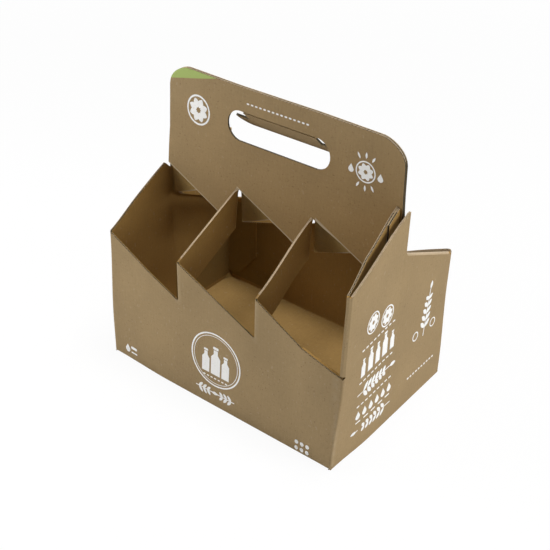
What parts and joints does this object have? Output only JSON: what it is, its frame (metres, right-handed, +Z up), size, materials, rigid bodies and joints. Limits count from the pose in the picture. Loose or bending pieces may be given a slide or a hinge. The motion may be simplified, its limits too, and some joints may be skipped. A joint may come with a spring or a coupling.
{
  "type": "bottle carrier box",
  "caption": "Open-topped corrugated carrier for bottles, with slanted walls, folded divider strips, a double centre handle and a hinged flap in its hand hole.",
  "frame": {"origin": "centre of the footprint, on the surface that the carrier stands on", "axes": "+Z up, X along the length, +Y from the front long wall to the back long wall"},
  "size_m": [0.228, 0.152, 0.241],
  "materials": {
    "kraft_board": "matte kraft paper liner on corrugated board"
  },
  "bodies": {
    "carrier": {"carrier": "kraft_board"},
    "hand_flap": {"hand_flap": "kraft_board"}
  },
  "joints": [
    {"name": "hand_flap_fold", "type": "hinge", "parent": "carrier", "child": "hand_flap", "pos_m": [0, -0.00015, 0.219], "axis": [1, 0, 0], "range_deg": [-42, 80]}
  ]
}
